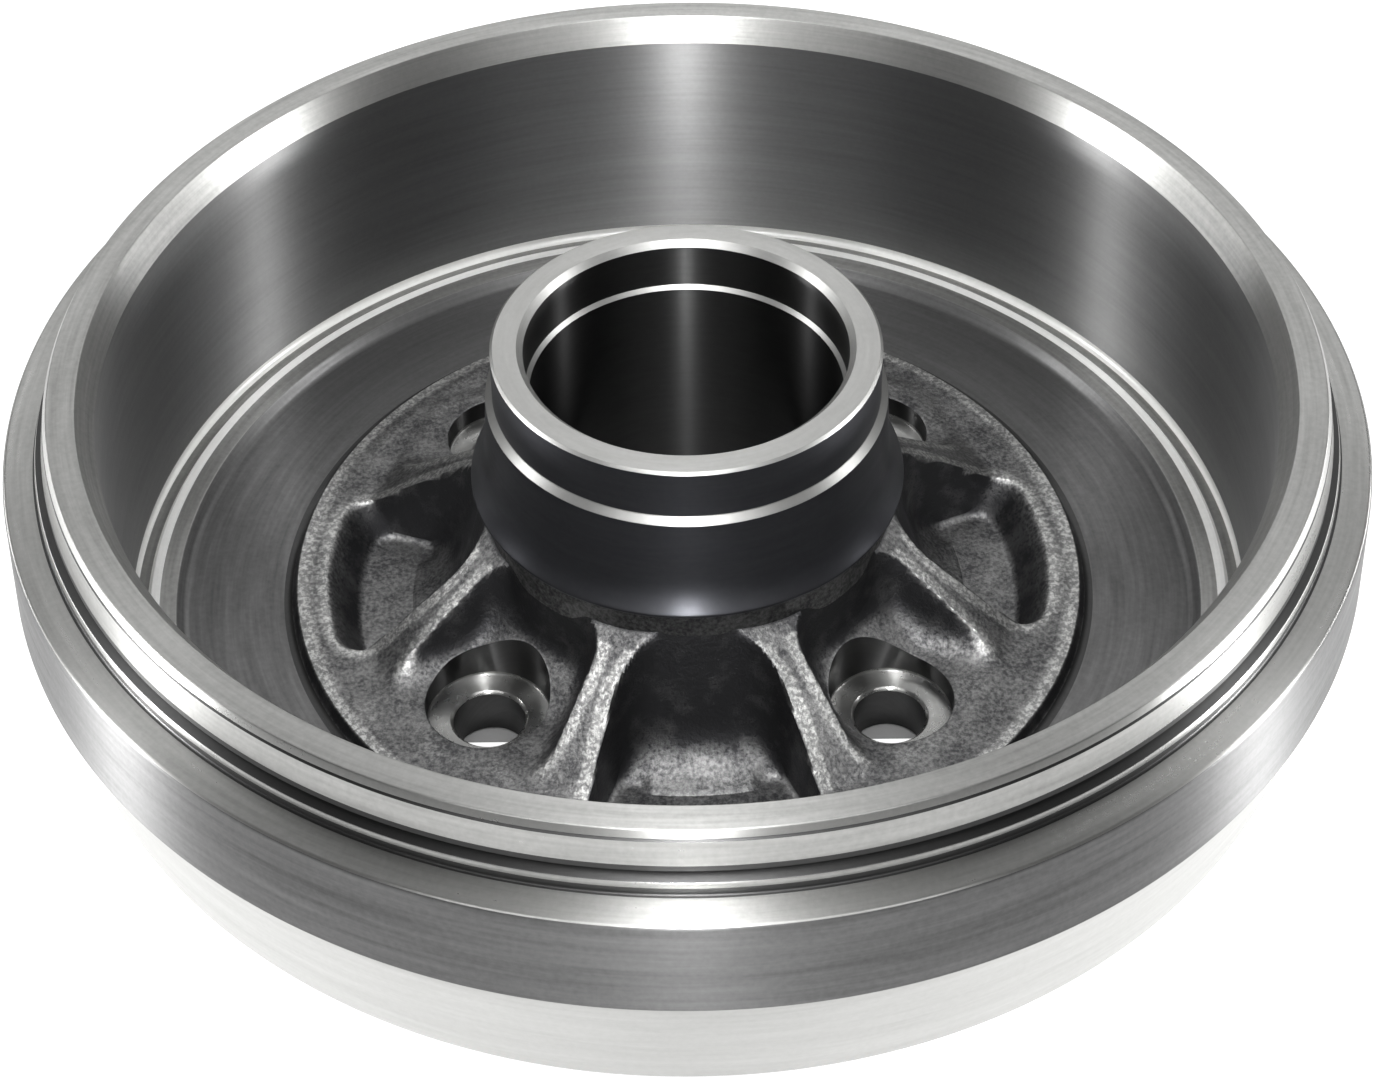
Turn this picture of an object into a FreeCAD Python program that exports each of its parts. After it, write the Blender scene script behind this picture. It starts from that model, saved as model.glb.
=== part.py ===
"""Brake drum with an integral wheel hub: one grey-iron casting, turned where it runs.

All sizes are millimetres. Z is the wheel axis. Z = 0 is the wheel mounting face, on
which the drum stands, and the open mouth faces up. The first bolt seat is at 45 degrees
from +X, the first web pocket a little past +X.
"""

import math
import os

import FreeCAD
import Part

V = FreeCAD.Vector

# Heights over the wheel mounting face.
MOUTH_Z = 64.5
HUB_TOP_Z = 65.8
PAD_Z = 13.8
SEAT_Z = 9.6
FLOOR_Z = 11.3
POCKET_Z = 6.5

# Brake ring, with the lead-in chamfer at the mouth and the relief groove at its foot.
FRICTION_D = 203.2
FRICTION_TOP_DEPTH = 4.7
FRICTION_FOOT_DEPTH = 49.7
MOUTH_INNER_D = 208.6
RELIEF_D = 205.0
RELIEF_HEIGHT = 2.1
LAND_D = 197.0
LAND_WIDTH = 4.6
LAND_Z = 13.5

# Outside of the mouth: a turned spigot, a narrow groove, a ledge and the flange.
SPIGOT_TOP_D = 219.8
SPIGOT_FOOT_D = 221.8
SPIGOT_EDGE = 1.3
SPIGOT_HEIGHT = 7.0
GROOVE_WIDTH = 0.8
GROOVE_RUN = 0.7
LEDGE_D = 224.8
LEDGE_DEPTH = 9.1
FLANGE_FOOT_DEPTH = 10.6
FLANGE_TOP_D = 236.2
FLANGE_EDGE_DEPTH = 11.3
FLANGE_BASE_D = 238.2
FLANGE_BASE_DEPTH = 29.4
FLANGE_EDGE_ROUND = 0.8

# Drum body under the flange, and the underside of the web.
BODY_TOP_D = 235.2
BODY_FOOT_D = 225.4
BODY_FOOT_Z = 9.4
BODY_FOOT_ROUND = 3.5
UNDERSIDE_Z = 6.6
MOUNT_D = 156.0
MOUNT_EDGE = 1.2

# Central casting pad, which carries the bolt seats and the ribs.
PAD_D = 144.0
PAD_EDGE_ROUND = 0.9
FLOOR_ROUND = 1.4

# Hub: the machined neck, its bevel, the flared barrel and the cast foot under it, which
# is a little slimmer between the ribs.
HUB_NECK_D = 67.8
HUB_EDGE = 0.5
BEVEL_TOP_Z = 56.4
BEVEL = 1.2
BARREL_TOP_D = 70.4
BARREL_WAIST_D = 72.0
BARREL_WAIST_Z = 45.5
BARREL_WAIST_ROUND = 10.0
BARREL_D = 77.2
BARREL_BELLY_Z = 41.0
BARREL_BELLY_ROUND = 7.0
BARREL_FOOT_Z = 36.4
BARREL_ROUND = 1.8
HUB_FOOT_D = 73.6
HUB_FOOT_Z = 35.4
HUB_UNDERCUT_D = 73.0

# Bearing bore, its wider entry, the shoulder under the bearing and the cap recess.
BEARING_D = 55.0
BEARING_LENGTH = 46.6
ENTRY_D = 56.4
ENTRY_DEPTH = 8.8
ENTRY_LEAD = 0.7
HUB_MOUTH_CHAMFER = 1.1
SHOULDER_D = 48.0
SHOULDER_HEIGHT = 4.4
CAP_D = 52.0
CAP_CHAMFER = 0.6

# Bolt seats: spot-faced on the inside, bored right through the web.
BOLT_COUNT = 4
BOLT_CIRCLE_D = 100.0
BOLT_HOLE_D = 12.7
SEAT_D = 22.0
BOLT_EDGE = 0.5

# Ribs from the hub foot to the pad, in pairs, one each side of every pocket. The cored
# web stands slightly turned against the drilled bolt circle.
POCKET_COUNT = 4
POCKET_TURN = 2.3
RIB_ANGLE = 21.5
RIB_THICKNESS = 4.0
RIB_POCKET_DRAFT = 4.0
RIB_HOLLOW_DRAFT = 14.0
RIB_FLARE = 6.0
CREST_HUB_Z = 31.4
CREST_PAD_D = 123.0
CREST_ROUND = 7.0
RIB_EDGE_ROUND = 0.6

# Pocket between the two ribs of a pair, its hub side sloping.
POCKET_FLOOR_IN_D = 90.0
POCKET_FLOOR_D = 122.0
POCKET_TOP_D = 132.4
POCKET_CORNER = 5.0
POCKET_FLOOR_ROUND = 1.8

# Hollow between neighbouring pairs, behind each bolt seat.
HOLLOW_HUB_Z = 21.0
HOLLOW_PAD_D = 92.0
HOLLOW_ROUND = 2.5
HOLLOW_FOOT_ROUND = 8.0
HOLLOW_CORNER = 3.0

# Clearance of the cutting volumes: over the rib crests, and over an open face.
CREST_CLEARANCE = 0.7
AIR = 12.0


def mouth_down(depth):
    """Height of a plane that lies `depth` below the mouth."""
    return MOUTH_Z - depth


def corner(before, point, after, radius):
    """Tangent points and middle of the arc that rounds a corner of a section."""
    a = before.sub(point).normalize()
    b = after.sub(point).normalize()
    half = a.getAngle(b) / 2.0
    reach = radius / math.tan(half)
    centre = point.add((a + b).normalize().multiply(radius / math.sin(half)))
    start = point.add(a * reach)
    end = point.add(b * reach)
    middle = centre.add(point.sub(centre).normalize().multiply(radius))
    return start, middle, end


def section(points):
    """Closed face in the XZ plane from (radius, height, rounding) points."""
    spots = [V(r, 0.0, z) for r, z, _ in points]
    count = len(points)
    edges = []
    ends = []
    for i, (_, _, rounding) in enumerate(points):
        here = spots[i]
        if rounding > 0.0:
            start, middle, end = corner(spots[i - 1], here, spots[(i + 1) % count], rounding)
            edges.append(Part.Arc(start, middle, end).toShape())
            ends.append((start, end))
        else:
            edges.append(None)
            ends.append((here, here))
    path = []
    for i in range(count):
        if edges[i] is not None:
            path.append(edges[i])
        leave = ends[i][1]
        reach = ends[(i + 1) % count][0]
        if leave.distanceToPoint(reach) > 1e-6:
            path.append(Part.makeLine(leave, reach))
    return Part.Face(Part.Wire(path))


def turned(points):
    """Solid of revolution about the wheel axis."""
    return section(points).revolve(V(0, 0, 0), V(0, 0, 1), 360)


def around(shape, count, first_angle):
    """Copies of a shape at equal angles round the wheel axis."""
    copies = []
    for i in range(count):
        copy = shape.copy()
        copy.rotate(V(0, 0, 0), V(0, 0, 1), first_angle + 360.0 * i / count)
        copies.append(copy)
    return copies


def drum_section():
    """Section of the casting with its turned faces, without bolt seats and pockets."""
    spigot_foot_z = mouth_down(SPIGOT_HEIGHT)
    groove_foot_z = spigot_foot_z - GROOVE_WIDTH
    spigot_foot_r = SPIGOT_FOOT_D / 2.0
    friction_r = FRICTION_D / 2.0
    friction_foot_z = mouth_down(FRICTION_FOOT_DEPTH)
    hub_foot_r = HUB_FOOT_D / 2.0
    bearing_foot_z = mouth_down(ENTRY_DEPTH) - BEARING_LENGTH
    land_in_r = LAND_D / 2.0 - LAND_WIDTH
    flange_base_z = mouth_down(FLANGE_BASE_DEPTH)
    flange_step = (FLANGE_BASE_D - BODY_TOP_D) / 2.0
    return [
        # Mouth and outside, from the friction surface outwards and down.
        (friction_r, mouth_down(FRICTION_TOP_DEPTH), 0.0),
        (MOUTH_INNER_D / 2.0, MOUTH_Z, 0.3),
        (SPIGOT_TOP_D / 2.0 - SPIGOT_EDGE * 0.6, MOUTH_Z, 0.4),
        (SPIGOT_TOP_D / 2.0, MOUTH_Z - SPIGOT_EDGE, 0.4),
        (spigot_foot_r, spigot_foot_z, 0.0),
        (spigot_foot_r - GROOVE_RUN, spigot_foot_z - GROOVE_WIDTH * 0.25, 0.0),
        (spigot_foot_r - GROOVE_RUN, groove_foot_z, 0.0),
        (LEDGE_D / 2.0 - 0.3, groove_foot_z - 0.4, 0.3),
        (LEDGE_D / 2.0, mouth_down(LEDGE_DEPTH), 0.0),
        (LEDGE_D / 2.0, mouth_down(FLANGE_FOOT_DEPTH), 0.5),
        (FLANGE_TOP_D / 2.0, mouth_down(FLANGE_EDGE_DEPTH), FLANGE_EDGE_ROUND),
        (FLANGE_BASE_D / 2.0, flange_base_z, 0.4),
        (BODY_TOP_D / 2.0, flange_base_z - flange_step * 0.6, 0.6),
        (BODY_FOOT_D / 2.0, BODY_FOOT_Z, BODY_FOOT_ROUND),
        (BODY_FOOT_D / 2.0 - 5.0, UNDERSIDE_Z, 2.0),
        # Underside of the web and the wheel mounting boss.
        (MOUNT_D / 2.0 + 5.0, UNDERSIDE_Z - 1.0, 2.5),
        (MOUNT_D / 2.0, MOUNT_EDGE, 0.0),
        (MOUNT_D / 2.0 - MOUNT_EDGE, 0.0, 0.0),
        # Cap recess, shoulder, bearing bore and the mouth of the hub.
        (CAP_D / 2.0 + CAP_CHAMFER, 0.0, 0.0),
        (CAP_D / 2.0, CAP_CHAMFER, 0.0),
        (CAP_D / 2.0, bearing_foot_z - SHOULDER_HEIGHT, 0.0),
        (SHOULDER_D / 2.0, bearing_foot_z - SHOULDER_HEIGHT, 0.3),
        (SHOULDER_D / 2.0, bearing_foot_z, 0.3),
        (BEARING_D / 2.0, bearing_foot_z, 0.0),
        (BEARING_D / 2.0, mouth_down(ENTRY_DEPTH), 0.0),
        (ENTRY_D / 2.0, mouth_down(ENTRY_DEPTH) + ENTRY_LEAD, 0.0),
        (ENTRY_D / 2.0, HUB_TOP_Z - HUB_MOUTH_CHAMFER, 0.0),
        (ENTRY_D / 2.0 + HUB_MOUTH_CHAMFER, HUB_TOP_Z, 0.15),
        # Outside of the hub, down to the foot of the casting.
        (HUB_NECK_D / 2.0 - HUB_EDGE, HUB_TOP_Z, 0.15),
        (HUB_NECK_D / 2.0, HUB_TOP_Z - HUB_EDGE, 0.15),
        (HUB_NECK_D / 2.0, BEVEL_TOP_Z, 0.5),
        (BARREL_TOP_D / 2.0, BEVEL_TOP_Z - BEVEL, 0.3),
        (BARREL_WAIST_D / 2.0, BARREL_WAIST_Z, BARREL_WAIST_ROUND),
        (BARREL_D / 2.0, BARREL_BELLY_Z, BARREL_BELLY_ROUND),
        (BARREL_D / 2.0, BARREL_FOOT_Z, BARREL_ROUND),
        (hub_foot_r, HUB_FOOT_Z, 0.6),
        # Crest of the ribs, pad, web floor, land and relief groove.
        (hub_foot_r, CREST_HUB_Z, 0.0),
        (CREST_PAD_D / 2.0, PAD_Z, CREST_ROUND),
        (PAD_D / 2.0, PAD_Z, PAD_EDGE_ROUND),
        (PAD_D / 2.0 + 0.9, FLOOR_Z, FLOOR_ROUND),
        (land_in_r - 1.6, FLOOR_Z + 0.3, 2.0),
        (land_in_r, LAND_Z - 0.3, 0.8),
        (LAND_D / 2.0, LAND_Z + 0.3, 0.25),
        (LAND_D / 2.0 + 0.7, friction_foot_z - RELIEF_HEIGHT, 0.5),
        (RELIEF_D / 2.0, friction_foot_z - RELIEF_HEIGHT, 0.9),
        (RELIEF_D / 2.0, friction_foot_z - RELIEF_HEIGHT * 0.35, 0.0),
        (friction_r, friction_foot_z, 0.0),
    ]


def sector_wire(z, half_angle, inset, r_in, r_out, round_in, round_out):
    """Closed outline between two rib sides and two arcs about the wheel axis.

    The sides run along the rib centre lines at plus and minus `half_angle`, moved inwards
    by `inset`. Its four corners are rounded, the inner pair flaring into the hub.
    """
    angle = math.radians(half_angle)

    def side(sign, along, offset):
        x = along * math.cos(angle) + offset * math.sin(angle)
        y = along * math.sin(angle) - offset * math.cos(angle)
        return V(x, sign * y, z)

    def rounding(sign, radius, centre_distance, wall_distance):
        offset = inset + radius
        along = math.sqrt(centre_distance ** 2 - offset ** 2)
        centre = side(sign, along, offset)
        on_side = side(sign, along, inset)
        flat = V(centre.x, centre.y, 0.0)
        on_arc = flat.multiply(wall_distance / centre_distance)
        on_arc.z = z
        toward = (on_side + on_arc).multiply(0.5).sub(centre).normalize()
        return on_side, centre.add(toward.multiply(radius)), on_arc

    outer = r_out - round_out
    inner = r_in + round_in
    out_low = rounding(-1, round_out, outer, r_out)
    out_high = rounding(1, round_out, outer, r_out)
    in_low = rounding(-1, round_in, inner, r_in)
    in_high = rounding(1, round_in, inner, r_in)
    return Part.Wire([
        Part.makeLine(in_low[0], out_low[0]),
        Part.Arc(*out_low).toShape(),
        Part.Arc(out_low[2], V(r_out, 0, z), out_high[2]).toShape(),
        Part.Arc(*reversed(out_high)).toShape(),
        Part.makeLine(out_high[0], in_high[0]),
        Part.Arc(*in_high).toShape(),
        Part.Arc(in_high[2], V(r_in, 0, z), in_low[2]).toShape(),
        Part.Arc(*reversed(in_low)).toShape(),
    ])


def rib_inset(z, draft):
    """Distance from a rib's centre plane to its drafted side at height z."""
    drop = CREST_HUB_Z - z
    return RIB_THICKNESS / 2.0 + drop * math.tan(math.radians(draft))


def rounded_floor(tool, z_floor, radius):
    """The tool with its lower rim rounded, as the sand leaves it."""
    rim = [
        e for e in tool.Edges
        if abs(e.BoundBox.ZMin - z_floor) < 1e-4 and abs(e.BoundBox.ZMax - z_floor) < 1e-4
    ]
    return tool.makeFillet(radius, rim)


def pocket_tool():
    """Drafted web pocket on +X, from its floor to above the rib crests."""
    z_top = CREST_HUB_Z + CREST_CLEARANCE
    rise = z_top - POCKET_Z
    slope = (POCKET_TOP_D - POCKET_FLOOR_D) / 2.0 / (PAD_Z - POCKET_Z)
    floor = sector_wire(
        POCKET_Z, RIB_ANGLE, rib_inset(POCKET_Z, RIB_POCKET_DRAFT),
        POCKET_FLOOR_IN_D / 2.0, POCKET_FLOOR_D / 2.0, RIB_FLARE, POCKET_CORNER,
    )
    mouth = sector_wire(
        z_top, RIB_ANGLE, rib_inset(z_top, RIB_POCKET_DRAFT),
        HUB_UNDERCUT_D / 2.0, POCKET_FLOOR_D / 2.0 + rise * slope, RIB_FLARE, POCKET_CORNER,
    )
    tool = Part.makeLoft([floor, mouth], True, True)
    return rounded_floor(tool, POCKET_Z, POCKET_FLOOR_ROUND)


def hollow_tool():
    """Hollow on +X between two rib pairs, its floor falling from the hub to the pad."""
    z_top = CREST_HUB_Z + CREST_CLEARANCE
    r_hub = HUB_UNDERCUT_D / 2.0
    r_far = PAD_D / 2.0 - 1.5
    half_angle = 180.0 / POCKET_COUNT - RIB_ANGLE
    floor = sector_wire(
        PAD_Z - AIR, half_angle, rib_inset(PAD_Z - AIR, RIB_HOLLOW_DRAFT), r_hub, r_far,
        RIB_FLARE, HOLLOW_CORNER,
    )
    mouth = sector_wire(
        z_top, half_angle, rib_inset(z_top, RIB_HOLLOW_DRAFT), r_hub, r_far,
        RIB_FLARE, HOLLOW_CORNER,
    )
    prism = Part.makeLoft([floor, mouth], True, True)
    ring = turned([
        (r_hub, HOLLOW_HUB_Z, HOLLOW_ROUND),
        (HOLLOW_PAD_D / 2.0, PAD_Z, HOLLOW_FOOT_ROUND),
        (PAD_D / 2.0, PAD_Z, 0.0),
        (PAD_D / 2.0, z_top, 0.0),
        (r_hub, z_top, 0.0),
    ])
    return ring.common(prism)


def bolt_tool():
    """Spot face, stud bore and its two edge chamfers, at the bolt circle on +X."""
    z_air = PAD_Z + AIR
    bore_r = BOLT_HOLE_D / 2.0
    seat_r = SEAT_D / 2.0
    tool = turned([
        (0.0, -1.0, 0.0),
        (bore_r + BOLT_EDGE + 1.0, -1.0, 0.0),
        (bore_r, BOLT_EDGE, 0.0),
        (bore_r, SEAT_Z - BOLT_EDGE, 0.0),
        (bore_r + BOLT_EDGE, SEAT_Z, 0.0),
        (seat_r, SEAT_Z, 0.0),
        (seat_r, z_air, 0.0),
        (0.0, z_air, 0.0),
    ])
    tool.translate(V(BOLT_CIRCLE_D / 2.0, 0, 0))
    return tool


def rib_crests(shape):
    """Edges where a pocket or hollow side breaks through the sloping crest of a rib."""
    r_hub = HUB_FOOT_D / 2.0
    r_pad = CREST_PAD_D / 2.0
    found = []
    for edge in shape.Edges:
        middle = edge.valueAt((edge.FirstParameter + edge.LastParameter) / 2.0)
        r = math.hypot(middle.x, middle.y)
        share = (r - r_hub) / (r_pad - r_hub)
        crest = CREST_HUB_Z + share * (PAD_Z - CREST_HUB_Z)
        if 0.4 < share < 0.9 and abs(middle.z - crest) < 0.4:
            found.append(edge)
    return found


def build():
    """The finished casting as one solid."""
    drum = turned(drum_section())
    hollow_angle = POCKET_TURN + 180.0 / POCKET_COUNT
    drum = drum.cut(around(hollow_tool(), POCKET_COUNT, hollow_angle))
    drum = drum.cut(around(pocket_tool(), POCKET_COUNT, POCKET_TURN)).removeSplitter()
    drum = drum.makeFillet(RIB_EDGE_ROUND, rib_crests(drum))
    drum = drum.cut(around(bolt_tool(), BOLT_COUNT, 180.0 / POCKET_COUNT))
    return drum.removeSplitter()


def main():
    """Builds the drum and writes its solid."""
    os.makedirs("parts", exist_ok=True)
    drum = build()
    solid = drum.Solids[0]
    print("solids", len(drum.Solids), "valid", solid.isValid(), "faces", len(solid.Faces))
    print("volume cm3", round(solid.Volume / 1000.0, 1), "box", solid.BoundBox)
    solid.exportStep("parts/brake_drum.step")


main()
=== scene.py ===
"""Brake drum with an integral wheel hub, dressed for a studio photograph.

The drum is one grey-iron casting that stands on its wheel mounting face with the open
mouth up. Three closed surfaces make it up: the brake ring with its rim, flange and body,
the ribbed web with the bolt seats, and the hub. Sizes are millimetres until a mesh is
made from them.
"""

import logging
import math
from dataclasses import dataclass, field
from enum import Enum

import bpy
import numpy as np
from mathutils import Matrix, Vector
from mathutils.geometry import tessellate_polygon


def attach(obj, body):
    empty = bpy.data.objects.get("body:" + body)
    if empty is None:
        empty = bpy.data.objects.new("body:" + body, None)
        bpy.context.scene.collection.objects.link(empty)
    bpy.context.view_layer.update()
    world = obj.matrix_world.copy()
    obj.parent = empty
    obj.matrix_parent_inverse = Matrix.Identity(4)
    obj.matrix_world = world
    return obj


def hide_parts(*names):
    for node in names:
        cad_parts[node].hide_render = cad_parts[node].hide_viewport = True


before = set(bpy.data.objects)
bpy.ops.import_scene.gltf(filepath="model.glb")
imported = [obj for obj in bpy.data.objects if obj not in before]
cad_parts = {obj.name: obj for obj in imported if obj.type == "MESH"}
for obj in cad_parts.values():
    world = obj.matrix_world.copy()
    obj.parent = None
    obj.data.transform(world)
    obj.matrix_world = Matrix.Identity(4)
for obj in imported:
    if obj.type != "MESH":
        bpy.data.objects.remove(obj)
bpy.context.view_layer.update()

LOG = logging.getLogger("brake_drum")
MM = 0.001
NODE = "brake_drum"
BODY = "root"

# Edges that turn by more than this many degrees are shaded sharp.
SHARP_ANGLE = 24.0
# The web repeats itself this many times round the axis.
QUARTERS = 4
# Graphite flecks of turned grey iron, in millimetres, and their share of the tone. Real ones
# are mostly under 0.3 mm, and these are drawn coarser to show.
FLECK_SIZE = 1.1
FLECK_SHARE = 0.6


class Zone(Enum):
    """Finished areas of the casting, in the order of the material slots."""

    RIM = 0
    FRICTION = 1
    FLANGE_EDGE = 2
    FLANGE = 3
    BODY = 4
    FLOOR = 5
    CAST = 6
    UNDERSIDE = 7
    HUB_FACE = 8
    BARREL = 9
    BORE = 10
    SEAT = 11
    HOLE = 12
    LAND = 13
    WHEEL_FACE = 14
    PAINTED_SHADE = 15
    FOOT = 16


def linear(code: str) -> tuple[float, float, float, float]:
    """Turns an sRGB hex code into a linear colour.

    Args:
        code: six hex digits after a hash sign.

    Returns:
        Linear red, green and blue, with an alpha of one.
    """
    parts = [int(code[i : i + 2], 16) / 255.0 for i in (1, 3, 5)]
    red, green, blue = (
        p / 12.92 if p <= 0.04045 else ((p + 0.055) / 1.055) ** 2.4 for p in parts
    )
    return red, green, blue, 1.0


def add_node(
    tree: bpy.types.NodeTree,
    kind: str,
    settings: dict[str, object] | None = None,
    **inputs: object,
) -> bpy.types.Node:
    """Adds a node with its settings, its values and its links.

    Args:
        tree: node tree of a material or world.
        kind: Blender's name of the node type.
        settings: attributes of the node itself.
        inputs: values or output sockets by input name, with _ for a space, or by
            number after the letter i.

    Returns:
        The new node.
    """
    node = tree.nodes.new(kind)
    for name, value in (settings or {}).items():
        setattr(node, name, value)
    for name, value in inputs.items():
        key = int(name[1:]) if name[1:].isdigit() and name[0] == "i" else name.replace("_", " ")
        socket = node.inputs[key]
        if isinstance(value, bpy.types.NodeSocket):
            tree.links.new(value, socket)
        else:
            socket.default_value = value
    return node


@dataclass(frozen=True)
class Streaks:
    """Grooves that a cutting tool leaves round the axis, in millimetres.

    pitch is their spacing and relief their height. band is the spacing of wider bands, and
    drift how far the tone swings with bands and grooves. Real feed marks lie 0.1 to 0.3 mm
    apart, too fine to show here, so pitch is drawn coarser.
    """

    pitch: float
    relief: float
    drift: float
    band: float


@dataclass(frozen=True)
class Grain:
    """Sand texture of a cast face, in millimetres.

    size is the spacing of the grains and relief their height. lump is the spacing of the soft
    swells under them, and wear_sheen_shade_gain how far the tone follows wear_sheen_and_shade: up
    on proud ridges, as wear and a painted highlight, and down on steep walls, as painted shade.
    Moulding sand is 0.2 to 0.4 mm coarse, too fine to show here, so size is drawn coarser.
    """

    size: float
    relief: float
    lump: float
    wear_sheen_shade_gain: float


@dataclass(frozen=True)
class IronFinish:
    """Bare grey iron, turned or as cast, as one procedural material.

    light and dark are the ends of its tone, and the roughness is lower by spread at the
    light end and higher by spread at the dark one. Grooves run round the drum's axis, or,
    with a bolt_offset in millimetres, round the nearest of the four bolt axes.
    """

    name: str
    light: str
    dark: str
    marks: Streaks | Grain
    roughness: float
    spread: float
    anisotropy: float = 0.0
    metallic: float = 1.0
    bolt_offset: float = 0.0

    def build(self) -> bpy.types.Material:
        """Makes the material.

        Returns:
            The new material.
        """
        material = bpy.data.materials.new(self.name)
        material.use_nodes = True
        tree = material.node_tree
        tree.nodes.clear()
        output = tree.nodes.new("ShaderNodeOutputMaterial")
        shader = add_node(tree, "ShaderNodeBsdfPrincipled", Metallic=self.metallic)
        tree.links.new(shader.outputs[0], output.inputs[0])
        place = tree.nodes.new("ShaderNodeTexCoord").outputs["Object"]
        if isinstance(self.marks, Streaks):
            if self.bolt_offset:
                place = self._from_bolt(tree, place, self.bolt_offset * MM)
            # Grooves smear light across themselves: the tangent runs round the axis, and a
            # quarter turn sets the long side of the highlight square to it.
            round_axis = add_node(
                tree, "ShaderNodeVectorMath", {"operation": "CROSS_PRODUCT"},
                i0=(0, 0, 1), i1=place,
            )
            tree.links.new(round_axis.outputs[0], shader.inputs["Tangent"])
            shader.inputs["Anisotropic"].default_value = self.anisotropy
            shader.inputs["Anisotropic Rotation"].default_value = 0.25
            tone, height = self._turned(tree, place, self.marks)
        else:
            tone, height = self._cast(tree, place, self.marks)
        colour = add_node(
            tree, "ShaderNodeMix", {"data_type": "RGBA"}, Factor=tone,
            i6=linear(self.dark), i7=linear(self.light),
        )
        tree.links.new(colour.outputs[2], shader.inputs["Base Color"])
        rough = add_node(
            tree, "ShaderNodeMapRange", Value=tone, From_Min=0.0, From_Max=1.0,
            To_Min=self.roughness + self.spread, To_Max=self.roughness - self.spread,
        )
        tree.links.new(rough.outputs[0], shader.inputs["Roughness"])
        bump = add_node(
            tree, "ShaderNodeBump", Strength=1.0, Distance=self.marks.relief * MM, Height=height,
        )
        tree.links.new(bump.outputs[0], shader.inputs["Normal"])
        return material

    @staticmethod
    def _from_bolt(
        tree: bpy.types.NodeTree, place: bpy.types.NodeSocket, offset: float
    ) -> bpy.types.NodeSocket:
        """Coordinates from the nearest bolt axis, which lies at (+-offset, +-offset).

        Args:
            tree: node tree of the material.
            place: object coordinates, in metres.
            offset: distance of the bolt axes from both coordinate planes, in metres.

        Returns:
            The coordinates less the bolt's place.
        """
        side = add_node(tree, "ShaderNodeVectorMath", {"operation": "SIGN"}, i0=place)
        bolt = add_node(
            tree, "ShaderNodeVectorMath", {"operation": "MULTIPLY"},
            i0=side.outputs[0], i1=(offset, offset, 0.0),
        )
        return add_node(
            tree, "ShaderNodeVectorMath", {"operation": "SUBTRACT"}, i0=place, i1=bolt.outputs[0]
        ).outputs[0]

    @staticmethod
    def _turned(
        tree: bpy.types.NodeTree, place: bpy.types.NodeSocket, marks: Streaks
    ) -> tuple[bpy.types.NodeSocket, bpy.types.NodeSocket]:
        """Grooves and bands round the axis, with flecks.

        Each is noise at (turn * direction, (radius + height) / step), with the direction as
        a unit vector, so it is stretched round the axis and repeats about every step.

        Args:
            tree: node tree of the material.
            place: coordinates from the axis, in metres.
            marks: groove sizes.

        Returns:
            Tone from 0 to 1, and height from 0 to 1.
        """
        flat = add_node(
            tree, "ShaderNodeVectorMath", {"operation": "MULTIPLY"}, i0=place, i1=(1, 1, 0)
        )
        radius = add_node(
            tree, "ShaderNodeVectorMath", {"operation": "LENGTH"}, i0=flat.outputs[0]
        )
        apart = add_node(tree, "ShaderNodeSeparateXYZ", Vector=place)
        feed = add_node(
            tree, "ShaderNodeMath", {"operation": "ADD"},
            i0=radius.outputs["Value"], i1=apart.outputs["Z"],
        ).outputs[0]
        direction = add_node(
            tree, "ShaderNodeVectorMath", {"operation": "NORMALIZE"}, i0=flat.outputs[0]
        )
        across = add_node(tree, "ShaderNodeCombineXYZ", Z=feed)
        bands = []
        for turn, step in ((1.6, marks.band), (5.0, marks.pitch)):
            along = add_node(
                tree, "ShaderNodeVectorMath", {"operation": "SCALE"},
                i0=direction.outputs[0], Scale=turn,
            )
            drawn = add_node(
                tree, "ShaderNodeVectorMath", {"operation": "SCALE"},
                i0=across.outputs[0], Scale=1.0 / (step * MM),
            )
            where = add_node(
                tree, "ShaderNodeVectorMath", {"operation": "ADD"},
                i0=along.outputs[0], i1=drawn.outputs[0],
            )
            noise = add_node(
                tree, "ShaderNodeTexNoise", Vector=where.outputs[0], Scale=1.0, Detail=2.0,
                Roughness=0.55,
            )
            bands.append(noise.outputs[0])
        fleck = add_node(
            tree, "ShaderNodeTexNoise", Vector=place, Scale=1.0 / (FLECK_SIZE * MM), Detail=2.0,
            Roughness=0.6,
        )
        flecked = add_node(
            tree, "ShaderNodeMath", {"operation": "MULTIPLY_ADD"},
            i0=fleck.outputs[0], i1=FLECK_SHARE, i2=-FLECK_SHARE / 2.0,
        )
        grooves = add_node(tree, "ShaderNodeMath", {"operation": "ADD"}, i0=bands[0], i1=bands[1])
        blend = add_node(
            tree, "ShaderNodeMath", {"operation": "ADD"},
            i0=grooves.outputs[0], i1=flecked.outputs[0],
        )
        # Two noises that each lie round 0.5 add up to about 1.
        tone = add_node(
            tree, "ShaderNodeMapRange", Value=blend.outputs[0], From_Min=0.5, From_Max=1.5,
            To_Min=0.5 - marks.drift, To_Max=0.5 + marks.drift,
        )
        return tone.outputs[0], bands[1]

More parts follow.
